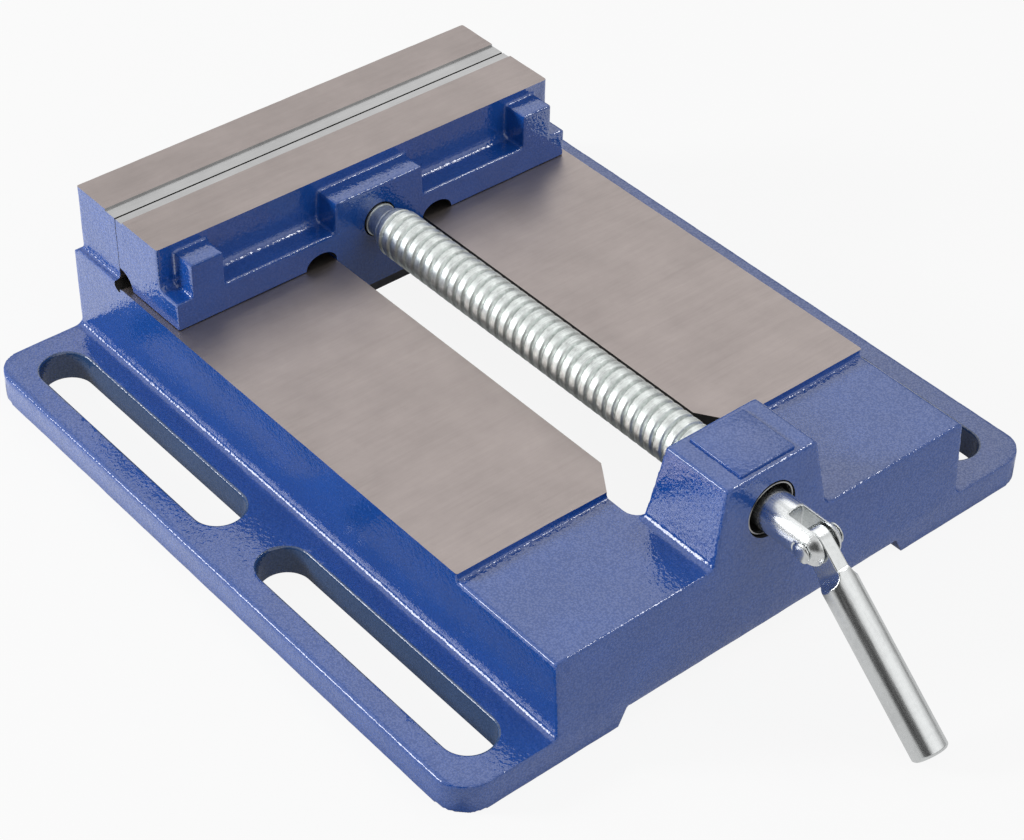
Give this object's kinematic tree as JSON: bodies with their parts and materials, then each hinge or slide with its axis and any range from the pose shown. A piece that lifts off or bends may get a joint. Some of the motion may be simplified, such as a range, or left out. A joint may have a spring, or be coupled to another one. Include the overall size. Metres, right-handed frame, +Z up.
{
  "type": "drill press vise",
  "caption": "Drill press vise: hollow cast base with slotted flanges and fixed jaw, jaw sliding on machined ways, lead screw and hinged drop handle.",
  "frame": {"origin": "centre of the footprint at rest (base and handle together), on the table", "axes": "+X across the jaws to the right as seen from the handle, +Y from the handle to the fixed jaw, +Z up"},
  "size_m": [0.224, 0.2998, 0.0633],
  "materials": {
    "cast_paint": "gloss",
    "machined_iron": "satin",
    "bright_zinc": "gloss",
    "handle_zinc": "gloss",
    "dark_steel": "satin",
    "spring_steel": "satin"
  },
  "bodies": {
    "base": {"base_casting": "cast_paint"},
    "jaw": {"moving_jaw": "cast_paint", "keeper_plate": "dark_steel", "keeper_bolt_left": "dark_steel", "keeper_bolt_right": "dark_steel", "keeper_washer_left": "spring_steel", "keeper_washer_right": "spring_steel", "screw_pin_left": "spring_steel", "screw_pin_right": "spring_steel"},
    "screw": {"lead_screw": "bright_zinc", "handle_rivet": "bright_zinc"},
    "handle": {"handle_bar": "handle_zinc"}
  },
  "joints": [
    {"name": "jaw_slide", "type": "slide", "parent": "base", "child": "jaw", "axis": [0, -1, 0], "range_m": [0, 0.146]},
    {"name": "screw_spin", "type": "hinge", "parent": "jaw", "child": "screw", "pos_m": [0, 0.11163, 0.0464], "axis": [0, -1, 0], "range_deg": [0, 13140]},
    {"name": "handle_pivot", "type": "hinge", "parent": "screw", "child": "handle", "pos_m": [0, -0.0984, 0.0464], "axis": [-1, 0, 0], "range_deg": [-48.6, 131.3]}
  ],
  "couplings": [
    {"joint": "screw_spin", "follows": "jaw_slide", "rad_per_m": 1570.8}
  ]
}
